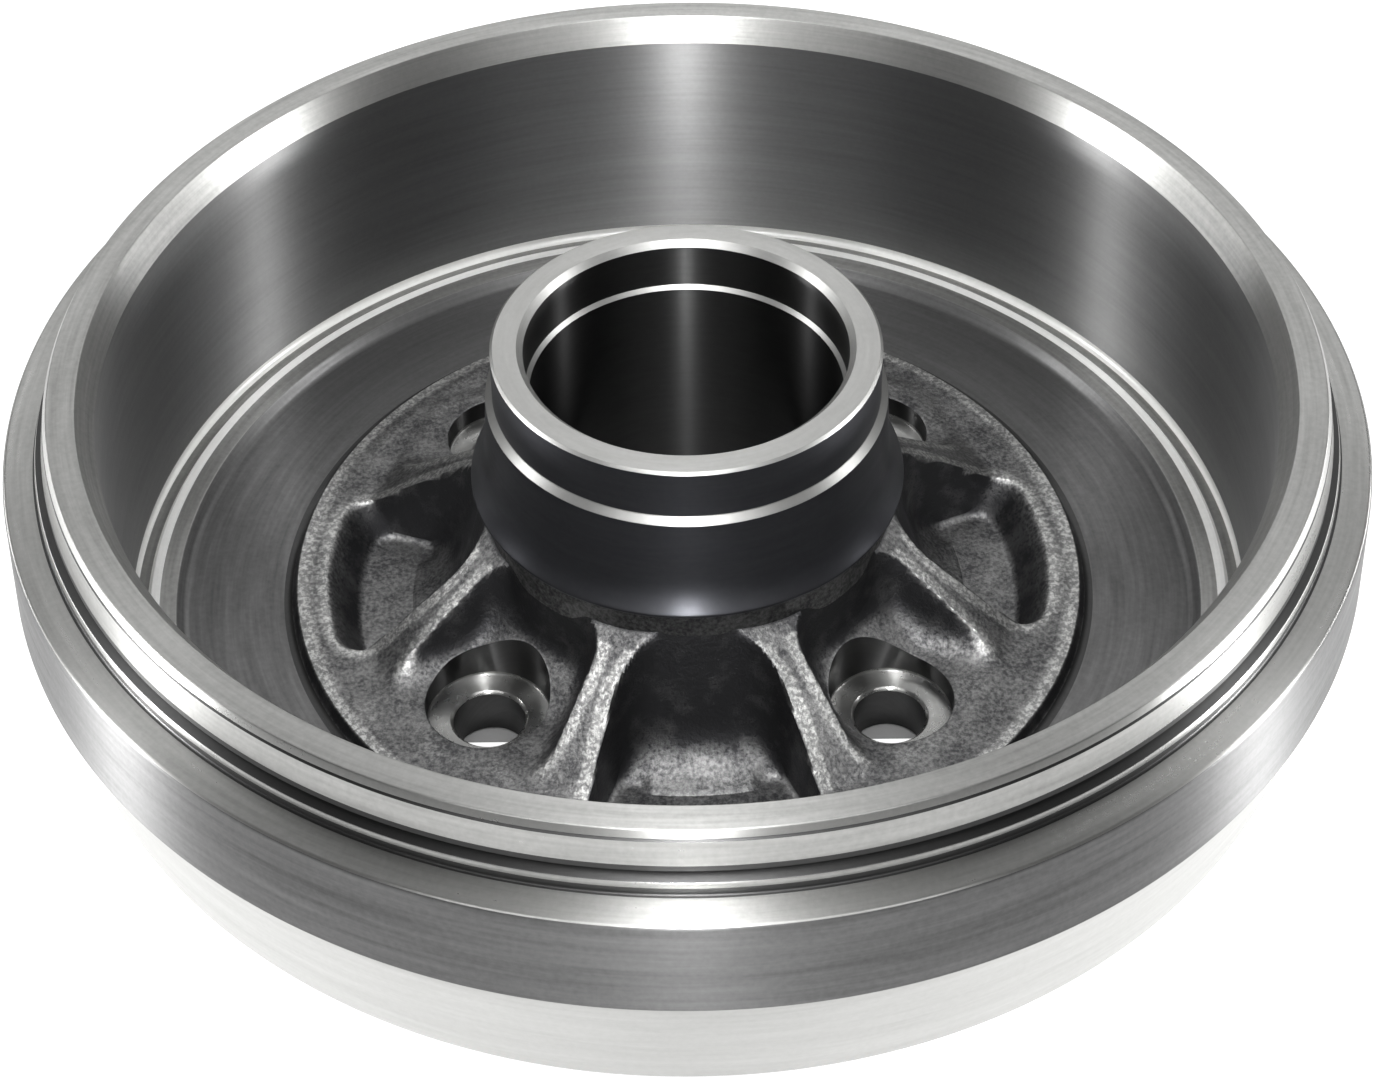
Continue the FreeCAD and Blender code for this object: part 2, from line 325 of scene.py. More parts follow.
    @staticmethod
    def _cast(
        tree: bpy.types.NodeTree, place: bpy.types.NodeSocket, sand: Grain
    ) -> tuple[bpy.types.NodeSocket, bpy.types.NodeSocket]:
        """Sand grain: fine noise over soft lumps, brighter at its tips and, as wear and a painted
        highlight, on proud ridges, and darker as painted shade on steep walls.

        The tone is (0.6 tips + 0.4) * (0.05 + wear_sheen_shade_gain * wear_sheen_and_shade) + skin,
        where wear_sheen_and_shade comes from the mesh, the tips from the fine noise and the skin
        from the height.

        Args:
            tree: node tree of the material.
            place: object coordinates, in metres.
            sand: grain sizes.

        Returns:
            Tone from 0 to 1, and the height, which is mostly between 0.5 and 1.1.
        """
        fine = add_node(
            tree, "ShaderNodeTexNoise", Vector=place, Scale=1.0 / (sand.size * MM),
            Detail=3.0, Roughness=0.65,
        )
        soft = add_node(
            tree, "ShaderNodeTexNoise", Vector=place, Scale=1.0 / (sand.lump * MM),
            Detail=2.0, Roughness=0.5,
        )
        height = add_node(
            tree, "ShaderNodeMath", {"operation": "MULTIPLY_ADD"},
            i0=soft.outputs[0], i1=0.6, i2=fine.outputs[0],
        )
        skin = add_node(
            tree, "ShaderNodeMapRange", Value=height.outputs[0],
            From_Min=0.60, From_Max=1.0, To_Min=0.0, To_Max=0.30,
        )
        tips = add_node(
            tree, "ShaderNodeMapRange", {"interpolation_type": "SMOOTHSTEP"},
            Value=fine.outputs[0], From_Min=0.44, From_Max=0.62,
        )
        # Wear and painted light from the mesh: proud ridges brighter as a painted highlight, steep
        # walls darker as painted shade.
        wear_sheen_shade_input = add_node(tree, "ShaderNodeAttribute", {"attribute_name": "wear_sheen_and_shade"})
        wear_sheen_shade_tone = add_node(
            tree, "ShaderNodeMath", {"operation": "MULTIPLY_ADD"},
            i0=wear_sheen_shade_input.outputs["Fac"], i1=sand.wear_sheen_shade_gain, i2=0.05,
        )
        speckle = add_node(
            tree, "ShaderNodeMath", {"operation": "MULTIPLY_ADD"},
            i0=tips.outputs[0], i1=0.6, i2=0.4,
        )
        tone = add_node(
            tree, "ShaderNodeMath", {"operation": "MULTIPLY_ADD", "use_clamp": True},
            i0=speckle.outputs[0], i1=wear_sheen_shade_tone.outputs[0], i2=skin.outputs[0],
        )
        return tone.outputs[0], height.outputs[0]


FINISHES: dict[Zone, IronFinish] = {
    # Grey iron faced at a coarse feed: bright, with fine rings.
    Zone.RIM: IronFinish(
        "faced_grey_iron_rim", "#C6C6C4", "#A0A09E", Streaks(0.8, 0.012, 0.544, 4.0),
        roughness=0.36, spread=0.05, anisotropy=0.75,
    ),
    # Ground brake track: dark mirror that smears light up and down the wall.
    Zone.FRICTION: IronFinish(
        "ground_grey_iron_friction_track", "#A2A2A2", "#8A8A8A", Streaks(0.8, 0.004, 0.34, 3.0),
        roughness=0.38, spread=0.02, anisotropy=1.0,
    ),
    # Spigot, groove and ledge outside the mouth: the brightest cut.
    Zone.FLANGE_EDGE: IronFinish(
        "turned_grey_iron_spigot", "#C0C0BE", "#9C9C9A", Streaks(0.8, 0.008, 0.51, 3.0),
        roughness=0.30, spread=0.05, anisotropy=0.8,
    ),
    # Outside of the flange: a duller, greyer cut with broad rings.
    Zone.FLANGE: IronFinish(
        "turned_grey_iron_flange", "#7C7C7C", "#606060", Streaks(1.0, 0.008, 0.51, 4.0),
        roughness=0.42, spread=0.05, anisotropy=0.92,
    ),
    # Body under the flange: nearly white, softly lit from the sheet.
    Zone.BODY: IronFinish(
        "turned_pale_iron_body", "#BEBEBC", "#A8A8A6", Streaks(1.6, 0.008, 0.408, 9.0),
        roughness=0.45, spread=0.05, anisotropy=0.3, metallic=0.3,
    ),
    # Turned web floor: dull grey rings that drift in shade.
    Zone.FLOOR: IronFinish(
        "turned_grey_iron_web_floor", "#8E8E8E", "#6A6A6A", Streaks(0.9, 0.016, 0.51, 5.0),
        roughness=0.44, spread=0.05, anisotropy=0.6,
    ),
    # Land inside the foot of the track: a mid-grey ring.
    Zone.LAND: IronFinish(
        "turned_grey_iron_land", "#B4B4B2", "#8C8C8A", Streaks(0.9, 0.008, 0.595, 2.0),
        roughness=0.38, spread=0.05, anisotropy=0.6, metallic=0.9,
    ),
    # Edge of the land and its relief: near white, a painted highlight standing for the bright lines
    # at the foot of the track.
    Zone.FOOT: IronFinish(
        "highlight_pale_grey_iron_foot", "#FAFAF8", "#E2E2E0", Streaks(0.9, 0.004, 0.51, 2.0),
        roughness=0.34, spread=0.04, anisotropy=0.6, metallic=0.35,
    ),
    # Cast web: grey sand grain, its tips bright, proud ridges brighter as wear and a painted
    # highlight, steep walls darker as painted shade.
    Zone.CAST: IronFinish(
        "sand_cast_grey_iron", "#DEDEDC", "#4C4C4E", Grain(0.75, 0.13, 5.0, 0.6),
        roughness=0.44, spread=0.06,
    ),
    # Cast underside: coarser and duller, with little wear.
    Zone.UNDERSIDE: IronFinish(
        "sand_cast_grey_iron_underside", "#B0B0B0", "#5C5C5E", Grain(1.1, 0.2, 8.0, 0.4),
        roughness=0.55, spread=0.06, metallic=0.9,
    ),
    # Top ring and shoulder of the hub: an even satin cut.
    Zone.HUB_FACE: IronFinish(
        "faced_grey_iron_hub", "#CACAC8", "#AEAEAC", Streaks(0.8, 0.004, 0.306, 3.0),
        roughness=0.40, spread=0.03, anisotropy=0.4,
    ),
    # Outside of the hub: dark, slightly blue and smooth, with one soft highlight.
    Zone.BARREL: IronFinish(
        "turned_grey_iron_barrel", "#6C6D72", "#5C5D62", Streaks(0.8, 0.004, 0.34, 4.0),
        roughness=0.32, spread=0.03, anisotropy=0.6,
    ),
    # Bearing seat: fine bored, nearly black but for upright streaks.
    Zone.BORE: IronFinish(
        "bored_grey_iron", "#686868", "#5C5C5C", Streaks(0.8, 0.004, 0.34, 3.0),
        roughness=0.30, spread=0.02, anisotropy=1.0,
    ),
    # Stud holes and their chamfer at the wheel face: drilled and dull, darkened as painted shade.
    Zone.HOLE: IronFinish(
        "drilled_grey_iron", "#4A4A4A", "#3A3A3A", Streaks(0.8, 0.008, 0.34, 3.0),
        roughness=0.45, spread=0.03,
    ),
    # Spot face round each stud: rings about the bolt's own axis.
    Zone.SEAT: IronFinish(
        "spot_faced_grey_iron", "#BCBCBA", "#A4A4A2", Streaks(0.8, 0.008, 0.34, 3.0),
        roughness=0.28, spread=0.03, anisotropy=0.8, bolt_offset=35.36,
    ),
    # Tool run-outs, the feet of spigot and step, and the crease round the pad: darkened as painted
    # shade.
    Zone.PAINTED_SHADE: IronFinish(
        "painted_shade_grey_iron_run_out", "#5E5E5E", "#484848", Streaks(0.8, 0.008, 0.34, 3.0),
        roughness=0.36, spread=0.04, anisotropy=0.8,
    ),
    # Face that the wheel seats on: flat and evenly bright.
    Zone.WHEEL_FACE: IronFinish(
        "faced_grey_iron_wheel_face", "#B8B8B6", "#A0A09E", Streaks(0.8, 0.008, 0.34, 3.0),
        roughness=0.34, spread=0.03, anisotropy=0.5,
    ),
}


@dataclass(frozen=True)
class Corner:
    """A corner of a turned section, and the finish of the stretch that leaves it."""

    radius: float
    height: float
    rounding: float
    zone: Zone


def outline(corners: list[Corner], arc_step: float = 11.0) -> tuple[np.ndarray, np.ndarray]:
    """Closed section through the corners, each rounded by an arc tangent to its sides.

    Args:
        corners: corners in order, clockwise with the radius to the right.
        arc_step: largest turn between two points of an arc, in degrees.

    Returns:
        Points as (radius, height) rows, and the zone number of the stretch after each.
    """
    points: list[np.ndarray] = []
    zones: list[int] = []
    count = len(corners)
    spots = np.array([(c.radius, c.height) for c in corners])
    for i, corner in enumerate(corners):
        here = spots[i]
        if corner.rounding <= 0.0:
            points.append(here[None, :])
            zones.append(corner.zone.value)
            continue
        back = spots[i - 1] - here
        ahead = spots[(i + 1) % count] - here
        back = back / np.linalg.norm(back)
        ahead = ahead / np.linalg.norm(ahead)
        turn = math.pi - math.acos(float(np.clip(back @ ahead, -1.0, 1.0)))
        middle = (back + ahead) / np.linalg.norm(back + ahead)
        centre = here + middle * corner.rounding / math.cos(turn / 2.0)
        steps = max(2, math.ceil(math.degrees(turn) / arc_step))
        angles = np.linspace(-turn / 2.0, turn / 2.0, steps + 1)
        side = np.array([-middle[1], middle[0]])
        if side @ ahead < 0.0:
            side = -side
        arc = centre + corner.rounding * (
            -np.cos(angles)[:, None] * middle + np.sin(angles)[:, None] * side
        )
        points.append(arc)
        zones += [corners[i - 1].zone.value] * (steps // 2)
        zones += [corner.zone.value] * (steps + 1 - steps // 2)
    return np.vstack(points), np.array(zones)


@dataclass
class Surface:
    """Vertices in millimetres, faces, and the zone number of each face."""

    vertices: np.ndarray
    quads: np.ndarray
    quad_zones: np.ndarray
    triangles: np.ndarray
    triangle_zones: np.ndarray
    wear_sheen_and_shade: np.ndarray | None = None

    def make(self, name: str, finishes: dict[Zone, bpy.types.Material]) -> bpy.types.Object:
        """Puts the surface into a Blender object that stands for the casting.

        Args:
            name: object name.
            finishes: material of each zone.

        Returns:
            The new object, at the origin, riding on its body.
        """
        zones = np.concatenate([self.quad_zones, self.triangle_zones])
        used = np.unique(zones)
        mesh = bpy.data.meshes.new(name)
        faces = self.quads.tolist() + self.triangles.tolist()
        mesh.from_pydata((self.vertices * MM).tolist(), [], faces)
        for number in used:
            mesh.materials.append(finishes[Zone(int(number))])
        if self.wear_sheen_and_shade is not None:
            # Wear of the cast top, with a painted highlight on proud edges and painted shade on
            # steep walls, read by its material.
            mesh.attributes.new("wear_sheen_and_shade", "FLOAT", "POINT").data.foreach_set("value", self.wear_sheen_and_shade)
        mesh.polygons.foreach_set("material_index", np.searchsorted(used, zones))
        mesh.polygons.foreach_set("use_smooth", np.ones(len(zones), dtype=bool))
        mesh.set_sharp_from_angle(angle=math.radians(SHARP_ANGLE))
        mesh.update()
        piece = bpy.data.objects.new(name, mesh)
        bpy.context.scene.collection.objects.link(piece)
        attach(piece, BODY)
        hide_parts(NODE)
        LOG.info("%s: %d faces, %s", name, len(zones), [Zone(int(n)).name for n in used])
        return piece


@dataclass
class Draft:
    """Points and quads of a surface that is being put together."""

    points: list[np.ndarray] = field(default_factory=list)
    quads: list[np.ndarray] = field(default_factory=list)
    zones: list[np.ndarray] = field(default_factory=list)

    def add_points(self, points: np.ndarray) -> np.ndarray:
        """Adds points and numbers them.

        Args:
            points: coordinates, in an array whose last axis has length 3.

        Returns:
            Number of each point, in the shape of the other axes.
        """
        start = sum(len(block) for block in self.points)
        block = points.reshape(-1, 3)
        self.points.append(block)
        return start + np.arange(len(block)).reshape(points.shape[:-1])

    def add_quads(self, quads: np.ndarray, zones: np.ndarray | int) -> None:
        """Adds quads with their zone numbers.

        Args:
            quads: point numbers, in an array whose last axis has length 4.
            zones: zone number of each quad, or one for all.
        """
        block = quads.reshape(-1, 4)
        self.quads.append(block)
        self.zones.append(np.broadcast_to(zones, len(block)).astype(int))

    def close(self, triangles: np.ndarray, zone: Zone) -> Surface:
        """Closes the draft with triangles, and drops the points that no face uses.

        Args:
            triangles: point numbers, in rows of three.
            zone: zone of the triangles.

        Returns:
            The closed surface.
        """
        quads = np.vstack(self.quads)
        corners = np.concatenate([quads.ravel(), triangles.ravel()])
        used, renumbered = np.unique(corners, return_inverse=True)
        return Surface(
            np.vstack(self.points)[used],
            renumbered[: quads.size].reshape(-1, 4),
            np.concatenate(self.zones),
            renumbered[quads.size :].reshape(-1, 3),
            np.full(len(triangles), zone.value),
        )


def turned(corners: list[Corner], columns: int) -> Surface:
    """Closed section carried round the axis: (r cos t, r sin t, z) on a grid.

    Args:
        corners: corners of the section.
        columns: number of steps round the axis.

    Returns:
        The closed surface.
    """
    points, zones = outline(corners)
    rows = len(points)
    angle = np.arange(columns) * (2.0 * math.pi / columns)
    x = points[:, :1] * np.cos(angle)
    y = points[:, :1] * np.sin(angle)
    z = np.repeat(points[:, 1:], columns, axis=1)
    vertices = np.stack([x, y, z], axis=-1).reshape(-1, 3)
    index = np.arange(rows * columns).reshape(rows, columns)
    below = np.roll(index, -1, axis=0)
    quads = np.stack(
        [index, below, np.roll(below, -1, axis=1), np.roll(index, -1, axis=1)], axis=-1
    ).reshape(-1, 4)
    empty = np.zeros((0, 3), dtype=int)
    return Surface(vertices, quads, np.repeat(zones, columns), empty, np.zeros(0, dtype=int))


def softer(a: np.ndarray, b: np.ndarray, reach: float) -> np.ndarray:
    """Smaller of two heights, with the crossing rounded over a height of `reach`."""
    share = np.clip(0.5 + 0.5 * (b - a) / reach, 0.0, 1.0)
    return b * (1.0 - share) + a * share - reach * share * (1.0 - share)


def fuller(a: np.ndarray, b: np.ndarray, reach: float) -> np.ndarray:
    """Larger of two heights, with the crossing filled over a height of `reach`."""
    return -softer(-a, -b, reach)


def rise(out: np.ndarray, lean: np.ndarray | float, fillet: np.ndarray | float) -> np.ndarray:
    """Height of a leaning wall over a floor, with an arc of radius `fillet` between.

    Args:
        out: distance past the line where floor and wall would meet.
        lean: run of the wall per unit of height.
        fillet: radius of the arc.

    Returns:
        Zero on the floor, then the arc r - sqrt(r^2 - bend^2), then out / lean.
    """
    steep = np.arctan2(1.0, lean)
    reach = fillet * np.tan(steep / 2.0)
    bend = np.clip(out + reach, 0.0, fillet * np.sin(steep))
    arc = fillet - np.sqrt(np.maximum(fillet * fillet - bend * bend, 0.0))
    return np.where(out > reach * np.cos(steep), out / lean, arc)


def cornered(
    side: np.ndarray,
    end: np.ndarray,
    lean: tuple[float, float],
    corner: float,
    fillet: tuple[float, float],
) -> np.ndarray:
    """Pocket wall round a corner, from distances inside its side and its end.

    The distance past a rounded corner is sqrt(max(c - s, 0)^2 + max(c - e, 0)^2) - c,
    and the wall's lean and fillet go from the side's to the end's with the direction.

    Args:
        side: distance inside the pocket's side.
        end: distance inside the pocket's end.
        lean: run of the wall per unit of height, of the side and of the end.
        corner: radius c of the corner, seen from above.
        fillet: radius between floor and wall, of the side and of the end.

    Returns:
        Height of the wall over the pocket's floor.
    """
    a = corner - side
    b = corner - end
    inside = np.maximum(a, b) <= 0.0
    diagonal = np.hypot(np.maximum(a, 0.0), np.maximum(b, 0.0))
    out = np.where(inside, np.maximum(a, b), diagonal) - corner
    share = np.where(diagonal > 1e-6, np.maximum(b, 0.0) / np.maximum(diagonal, 1e-6), 0.0) ** 2
    return rise(
        out, lean[0] * (1.0 - share) + lean[1] * share,
        fillet[0] * (1.0 - share) + fillet[1] * share,
    )


@dataclass
class BrakeRing:
    """Friction wall, rim, flange and body of the drum, outside the casting pad.

    Names that end in _r are radii, those in _z heights over the wheel face, and those in
    _drop depths below the mouth.
    """

    mouth_z: float = 64.5
    friction_r: float = 101.6
    chamfer_r: float = 104.3
    chamfer_drop: float = 4.7
    rim_r: float = 109.12
    run_out_r: float = 109.8
    run_out_drop: float = 1.15
    spigot_top_r: float = 109.97
    spigot_r: float = 110.8
    spigot_drop: float = 6.0
    groove_r: float = 110.2
    groove_drop: float = 7.2
    groove_width: float = 0.6
    step_top_r: float = 112.1
    step_r: float = 112.3
    step_drop: float = 8.2
    step_foot_drop: float = 10.65
    flange_top_r: float = 118.1
    flange_drop: float = 11.3
    flange_r: float = 119.1
    flange_foot_drop: float = 29.4
    body_top_r: float = 117.6
    body_drop: float = 30.3
    body_r: float = 112.7
    body_z: float = 9.4
    under_out_r: float = 107.7
    under_out_z: float = 6.6
    under_in_r: float = 83.0
    under_in_z: float = 5.6
    boss_r: float = 78.0
    wheel_chamfer: float = 1.2
    inner_r: float = 74.0
    pad_gap: float = 0.5
    floor_z: float = 11.3
    floor_rise: float = 0.3
    floor_in_r: float = 72.9
    floor_out_r: float = 92.3
    land_in_r: float = 93.9
    land_in_z: float = 13.2
    land_highlight_r: float = 96.9
    land_highlight_z: float = 13.59
    land_r: float = 98.5
    land_z: float = 13.8
    relief_in_r: float = 99.2
    relief_highlight_r: float = 101.2
    relief_r: float = 102.5
    relief_z: float = 12.7
    relief_top_z: float = 14.065
    track_foot_z: float = 14.8
    columns: int = 512

    def floor_height(self, radius: float | np.ndarray) -> float | np.ndarray:
        """Height of the turned web floor, which rises slightly outwards."""
        share = (radius - self.floor_in_r) / (self.floor_out_r - self.floor_in_r)
        return self.floor_z + self.floor_rise * share

    def corners(self) -> list[Corner]:
        """Section of the ring, clockwise from the top of the friction wall.

        Returns:
            The corners, the last of which is the foot of the friction wall.
        """
        top = self.mouth_z
        gap_r = self.inner_r + self.pad_gap
        edge, flange, body = Zone.FLANGE_EDGE, Zone.FLANGE, Zone.BODY
        # dark is painted shade in grooves and creases, and foot a painted highlight at the track's
        # foot.
        under, floor, dark, foot = Zone.UNDERSIDE, Zone.FLOOR, Zone.PAINTED_SHADE, Zone.FOOT
        # Chamfer and flat top of the mouth.
        mouth = [
            Corner(self.friction_r, top - self.chamfer_drop, 0.0, Zone.RIM),
            Corner(self.chamfer_r, top, 0.3, Zone.RIM),
            Corner(self.rim_r, top, 0.4, edge),
        ]
        # Tool run-out under the rim, spigot, groove, and step; the run-out, the spigot's foot, the
        # groove and the step's foot are darkened as painted shade.
        spigot = [
            Corner(self.run_out_r, top - self.run_out_drop, 0.0, dark),
            Corner(self.run_out_r - 0.2, top - self.run_out_drop - 0.25, 0.0, dark),
            Corner(self.spigot_top_r, top - self.run_out_drop - 0.55, 0.1, edge),
            Corner(self.spigot_r, top - self.spigot_drop, 0.8, dark),
            Corner(self.spigot_r + 0.1, top - self.spigot_drop - 1.0, 0.0, dark),
            Corner(self.groove_r, top - self.groove_drop, 0.0, dark),
            Corner(self.groove_r, top - self.groove_drop - self.groove_width, 0.0, dark),
            Corner(self.step_top_r, top - self.step_drop, 0.3, edge),
            Corner(self.step_r + 0.1, top - self.step_drop - 0.9, 0.0, dark),
            Corner(self.step_r, top - self.step_foot_drop, 0.3, dark),
            Corner(self.step_r + 0.6, top - self.step_foot_drop - 0.01, 0.0, edge),
        ]
        # Flange and body.
        outside = [
            Corner(self.flange_top_r, top - self.flange_drop, 0.8, flange),
            Corner(self.flange_r, top - self.flange_foot_drop, 0.4, flange),
            Corner(self.body_top_r, top - self.body_drop, 0.6, body),
            Corner(self.body_r, self.body_z, 3.5, body),
        ]
        # Cast underside, and the boss with the wheel face.
        below = [
            Corner(self.under_out_r, self.under_out_z, 2.0, under),
            Corner(self.under_in_r, self.under_in_z, 2.5, under),
            Corner(self.boss_r, self.wheel_chamfer, 0.0, Zone.WHEEL_FACE),
            Corner(self.boss_r - self.wheel_chamfer, 0.0, 0.0, Zone.WHEEL_FACE),
            Corner(self.inner_r, 0.0, 0.0, floor),
        ]
        # Gap round the pad, darkened as painted shade, turned floor, land, relief, and track. The
        # land's edge and the relief's outer part are near white as a painted highlight.
        inside = [
            Corner(self.inner_r, self.floor_height(self.inner_r), 0.0, dark),
            Corner(gap_r, self.floor_height(gap_r), 0.0, floor),
            Corner(self.floor_out_r, self.floor_z + self.floor_rise, 2.0, floor),
            Corner(self.land_in_r, self.land_in_z, 0.8, Zone.LAND),
            Corner(self.land_highlight_r, self.land_highlight_z, 0.0, foot),
            Corner(self.land_r, self.land_z, 0.25, foot),
            Corner(self.relief_in_r, self.relief_z, 0.5, Zone.LAND),
            Corner(self.relief_highlight_r, self.relief_z, 0.0, foot),
            Corner(self.relief_r, self.relief_z, 0.9, foot),
            Corner(self.relief_r, self.relief_top_z, 0.0, foot),
            Corner(self.friction_r, self.track_foot_z, 0.0, Zone.FRICTION),
        ]
        return mouth + spigot + outside + below + inside

    def surface(self) -> Surface:
        """The ring as a closed turned surface."""
        return turned(self.corners(), self.columns)


@dataclass
class Hub:
    """Bearing hub: bored inside, turned outside down to its cast foot.

    Names that end in _r are radii, and those in _z heights over the wheel face.
    """

    top_z: float = 65.8
    cap_r: float = 26.0
    cap_z: float = 4.7
    cap_chamfer: float = 0.6
    nut_r: float = 24.0
    shoulder_z: float = 9.1
    bearing_r: float = 27.5
    bearing_top_z: float = 55.7
    entry_r: float = 28.2
    entry_z: float = 56.4
    entry_chamfer: float = 1.1
    neck_r: float = 33.9
    neck_chamfer: float = 0.5
    ledge_z: float = 56.4
    ledge_r: float = 35.2
    ledge_foot_z: float = 55.2
    waist_r: float = 35.9
    waist_z: float = 41.5
    flare: float = 13.0
    skirt_r: float = 38.9
    skirt_z: float = 37.4
    foot_r: float = 36.8
    foot_z: float = 36.0
    wheel_step: float = 2.0
    wheel_r: float = 36.3
    columns: int = 384

    def corners(self) -> list[Corner]:
        """Section of the hub, clockwise from the cap recess.

        Returns:
            The corners, the last of which lies on the wheel face.
        """
        top = self.top_z
        bore, face, barrel, wheel = Zone.BORE, Zone.HUB_FACE, Zone.BARREL, Zone.WHEEL_FACE
        # Cap recess, hole for the axle nut, bearing seat, and its entry.
        inside = [
            Corner(self.cap_r + self.cap_chamfer, 0.0, 0.0, bore),
            Corner(self.cap_r, self.cap_chamfer, 0.0, bore),
            Corner(self.cap_r, self.cap_z, 0.0, bore),
            Corner(self.nut_r, self.cap_z, 0.3, bore),
            Corner(self.nut_r, self.shoulder_z, 0.3, bore),
            Corner(self.bearing_r, self.shoulder_z, 0.0, bore),
            Corner(self.bearing_r, self.bearing_top_z, 0.0, face),
            Corner(self.entry_r, self.entry_z, 0.0, bore),
            Corner(self.entry_r, top - self.entry_chamfer, 0.0, face),
        ]
        # Top ring, neck, ledge, waist that flares into the skirt, and the cast foot.
        outside = [
            Corner(self.entry_r + self.entry_chamfer, top, 0.15, face),
            Corner(self.neck_r - self.neck_chamfer, top, 0.15, face),
            Corner(self.neck_r, top - self.neck_chamfer, 0.15, barrel),
            Corner(self.neck_r, self.ledge_z, 0.5, face),
            Corner(self.ledge_r, self.ledge_foot_z, 0.3, barrel),
            Corner(self.waist_r, self.waist_z, self.flare, barrel),
            Corner(self.skirt_r, self.skirt_z, 0.6, barrel),
            Corner(self.foot_r, self.foot_z, 0.6, Zone.CAST),
        ]
        # Short step down to the wheel face.
        below = [
            Corner(self.foot_r, self.wheel_step, 0.0, wheel),
            Corner(self.wheel_r, self.wheel_step, 0.0, wheel),
            Corner(self.wheel_r, 0.0, 0.0, wheel),
        ]
        return inside + outside + below

    def surface(self) -> Surface:
        """The hub as a closed turned surface."""
        return turned(self.corners(), self.columns)


@dataclass
class Web:
    """Casting pad with four pockets, eight ribs and four spot-faced bolt seats.

    Its top is a height over (radius, angle). Grid columns follow the rib sides, and round
    each bolt the grid gives way to rings that shrink onto the seat. Names that end in
    _lean are the run of a wall per unit of height, in _draft angles from upright, in
    _fillet radii, and in _blend the height over which two surfaces run into each other.

    crest_fall is how much a rib's crest falls per millimetre outwards, and turn the angle
    of ribs and pockets against the bolts. slope_over is how far above the crests the
    pockets' inner slope would meet the hub. The skin is wavy from skin_in_r to skin_out_r.
    """

    ring: BrakeRing
    hub: Hub
    pad_z: float = 13.8
    pad_blend: float = 2.2
    edge_lean: float = 0.36
    edge_fillet: float = 1.4
    edge_blend: float = 0.6
    hub_r: float = 36.5
    hub_lean: float = 0.05
    hub_fillet: float = 2.2
    hub_reach: float = 0.4
    crest_z: float = 31.4
    crest_fall: float = 0.7126
    crest_blend: float = 1.8
    rib_angle: float = 21.5
    turn: float = 2.3
    rib_half: float = 2.0
    rib_blend: float = 1.2
    flare: float = 6.0
    hollow_draft: float = 14.0
    hollow_fillet: float = 7.0
    hollow_z: float = 21.0
    hollow_pad_r: float = 46.0
    pocket_z: float = 6.5
    pocket_in_r: float = 45.0
    pocket_out_r: float = 61.0
    pocket_draft: float = 4.0
    pocket_out_lean: float = 0.712
    pocket_corner: float = 5.0
    pocket_fillet: float = 1.8
    pocket_blend: float = 0.9
    slope_over: float = 0.7
    slope_fillet: float = 12.0
    skin_in_r: float = 37.5
    skin_out_r: float = 70.5
    proud_reach: float = 3.0
    proud_height: float = 0.6
    bolt_r: float = 50.0
    seat_r: float = 11.0
    seat_z: float = 9.6
    seat_window: tuple[float, float] = (37.3, 63.6)
    hole_r: float = 6.35

    def radii(self) -> tuple[np.ndarray, int, int]:
        """Radii of the grid rows, closer together where the surface bends.

        Returns:
            The radii, and the numbers of the rows that bound a seat's window.
        """
        low, high = self.seat_window
        inner = np.array([self.hub.wheel_r, self.hub.foot_r])
        seat = np.concatenate([
            np.linspace(low, 42.0, 11)[:-1],
            np.linspace(42.0, 58.0, 25)[:-1],
            np.linspace(58.0, high, 15),
        ])
        outer = np.concatenate([
            np.linspace(high, 68.0, 12)[1:],
            np.linspace(68.0, 71.0, 5)[1:],
            np.linspace(71.0, self.ring.inner_r, 16)[1:],
        ])
        return np.concatenate([inner, seat, outer]), len(inner), len(inner) + len(seat) - 1

    def columns(self, radius: np.ndarray) -> tuple[np.ndarray, int, int]:
        """Angles of the grid columns of one quarter, at each radius.

        A column near a rib stays at a fixed distance from the rib's centre plane, so its
        angle is the rib angle plus asin(distance / radius). Between ribs the columns share
        out the angle evenly.

        Args:
            radius: radii of the rows.

        Returns:
            Angles in radians, one row per radius, and the columns that bound a seat.
        """
        pocket_side, hollow_side = 5.6, 6.2
        r = radius[:, None]
        alpha = math.radians(self.rib_angle)
        offsets = np.linspace(-pocket_side, hollow_side, 29)
        first = alpha + np.arcsin(offsets / r)
        second = math.pi / 2.0 - alpha - np.arcsin(offsets[::-1] / r)
        pocket = np.linspace(0.0, 1.0, 45)[:-1][None, :]
        seat = np.linspace(0.0, 1.0, 53)[1:-1][None, :]
        before = second[:, -1:] - math.pi / 2.0
        pockets = before + (first[:, :1] - before) * pocket
        seats = first[:, -1:] + (second[:, :1] - first[:, -1:]) * seat
        angles = np.concatenate([pockets, first, seats, second[:, :-1]], axis=1)
        start = pockets.shape[1] + first.shape[1] - 1
        return angles + math.radians(self.turn), start, start + seats.shape[1] + 1

    @staticmethod
    def lumps(x: np.ndarray, y: np.ndarray) -> np.ndarray:
        """Waviness of the cast skin, two crossed sine waves 0.16 and 0.10 mm high."""
        swell = 0.16 * np.sin(x / 5.1 + 0.7) * np.sin(y / 6.3 + 1.9)
        return swell + 0.10 * np.sin(x / 2.7 - y / 3.9 + 0.3)

    def ground(self, radius: np.ndarray) -> np.ndarray:
        """Pad, the slope from it up to the hub, and the fillet at the hub's foot.

        Args:
            radius: distance from the axis.

        Returns:
            Height between the ribs: the larger of pad_z and the slope, plus the fillet.
        """
        slope = (self.hollow_z - self.pad_z) / (self.hollow_pad_r - self.hub.foot_r)
        ground = fuller(
            np.full_like(radius, self.pad_z),
            self.pad_z + slope * (self.hollow_pad_r - radius), self.pad_blend,
        )
        return ground + rise(
            self.hub.foot_r + self.hub_reach - radius, self.hub_lean, self.hub_fillet
        )

